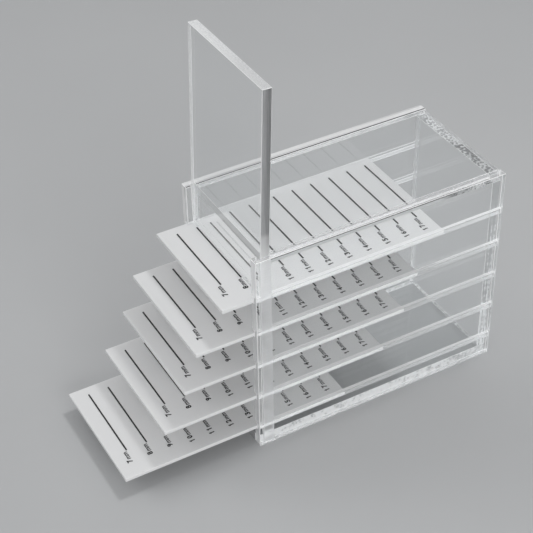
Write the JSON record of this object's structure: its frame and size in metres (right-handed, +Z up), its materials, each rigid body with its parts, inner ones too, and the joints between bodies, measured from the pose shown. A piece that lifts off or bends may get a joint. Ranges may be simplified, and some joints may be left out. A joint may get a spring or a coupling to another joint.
{
  "type": "cosmetic organizer",
  "caption": "Clear acrylic lash-tile organizer: a sheet-built case whose grooved sides carry white slide-out tiles behind a lift-out front door.",
  "frame": {"origin": "middle of the underside of the case", "axes": "+Z up, -Y the front where the tiles slide out and the door lifts, +X to the right as seen from the front"},
  "size_m": [0.0764, 0.2195, 0.2107],
  "materials": {
    "clear_sheet": "clear polished acrylic sheet, edges polished",
    "white_tile": "white translucent acrylic, satin to gloss"
  },
  "bodies": {
    "case": {"base_panel": "clear_sheet", "top_panel": "clear_sheet", "rear_panel": "clear_sheet", "left_side_panel": "clear_sheet", "right_side_panel": "clear_sheet"},
    "door": {"front_door": "clear_sheet"},
    "tile_1": {"tile_1": "white_tile"},
    "tile_2": {"tile_2": "white_tile"},
    "tile_3": {"tile_3": "white_tile"},
    "tile_4": {"tile_4": "white_tile"},
    "tile_5": {"tile_5": "white_tile"}
  },
  "joints": [
    {"name": "door_lift", "type": "slide", "parent": "case", "child": "door", "axis": [0, 0.0342, 0.9994], "range_m": [0, 0.03]},
    {"name": "tile_1_slide", "type": "slide", "parent": "case", "child": "tile_1", "axis": [0, -1, 0], "range_m": [-0.0288, 0.112]},
    {"name": "tile_2_slide", "type": "slide", "parent": "case", "child": "tile_2", "axis": [0, -1, 0], "range_m": [-0.0438, 0.097]},
    {"name": "tile_3_slide", "type": "slide", "parent": "case", "child": "tile_3", "axis": [0, -1, 0], "range_m": [-0.0513, 0.0895]},
    {"name": "tile_4_slide", "type": "slide", "parent": "case", "child": "tile_4", "axis": [0, -1, 0], "range_m": [-0.0633, 0.0775]},
    {"name": "tile_5_slide", "type": "slide", "parent": "case", "child": "tile_5", "axis": [0, -1, 0], "range_m": [-0.0863, 0.0545]}
  ]
}
